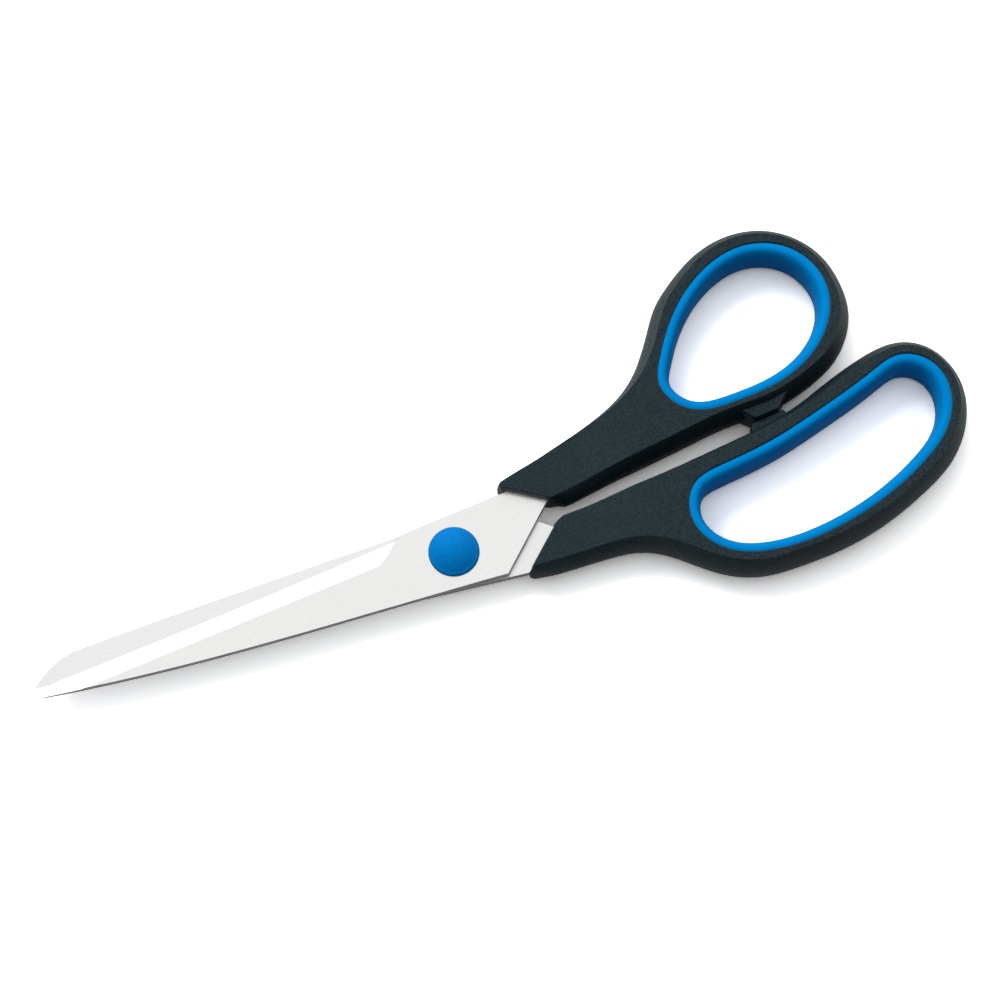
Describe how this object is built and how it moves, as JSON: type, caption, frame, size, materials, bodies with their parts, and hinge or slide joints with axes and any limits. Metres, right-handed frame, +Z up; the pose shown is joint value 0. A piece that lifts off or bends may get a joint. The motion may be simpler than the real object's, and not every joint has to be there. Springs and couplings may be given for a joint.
{
  "type": "office scissors",
  "caption": "Office scissors with two pivoted steel blades, a domed pivot cap and moulded handles with soft finger liners.",
  "frame": {"origin": "on the table that the scissors lie on, under the middle of their bounding box when they are closed", "axes": "+X from the blade tips to the handles, +Y towards the thumb loop, +Z up from the table, out of the front blade"},
  "size_m": [0.2106, 0.077, 0.011],
  "materials": {
    "blade_steel": "fine ground stainless steel",
    "black_plastic": "fine-grained moulded plastic",
    "blue_rubber": "satin soft-touch rubber",
    "blue_plastic": "satin moulded plastic",
    "pivot_steel": "turned steel",
    "washer_plastic": "natural nylon"
  },
  "bodies": {
    "finger_half": {"rear_blade": "blade_steel", "finger_handle": "black_plastic", "finger_liner": "blue_rubber", "pivot_screw": "pivot_steel", "pivot_nut": "pivot_steel", "pivot_cap": "blue_plastic", "spring_washer": "pivot_steel", "friction_washer": "washer_plastic"},
    "thumb_half": {"front_blade": "blade_steel", "thumb_handle": "black_plastic", "thumb_liner": "blue_rubber"}
  },
  "joints": [
    {"name": "blade_pivot", "type": "hinge", "parent": "finger_half", "child": "thumb_half", "pos_m": [-0.01184, -0.01167, 0.0055], "axis": [0, 0, 1], "range_deg": [0, 95]}
  ]
}
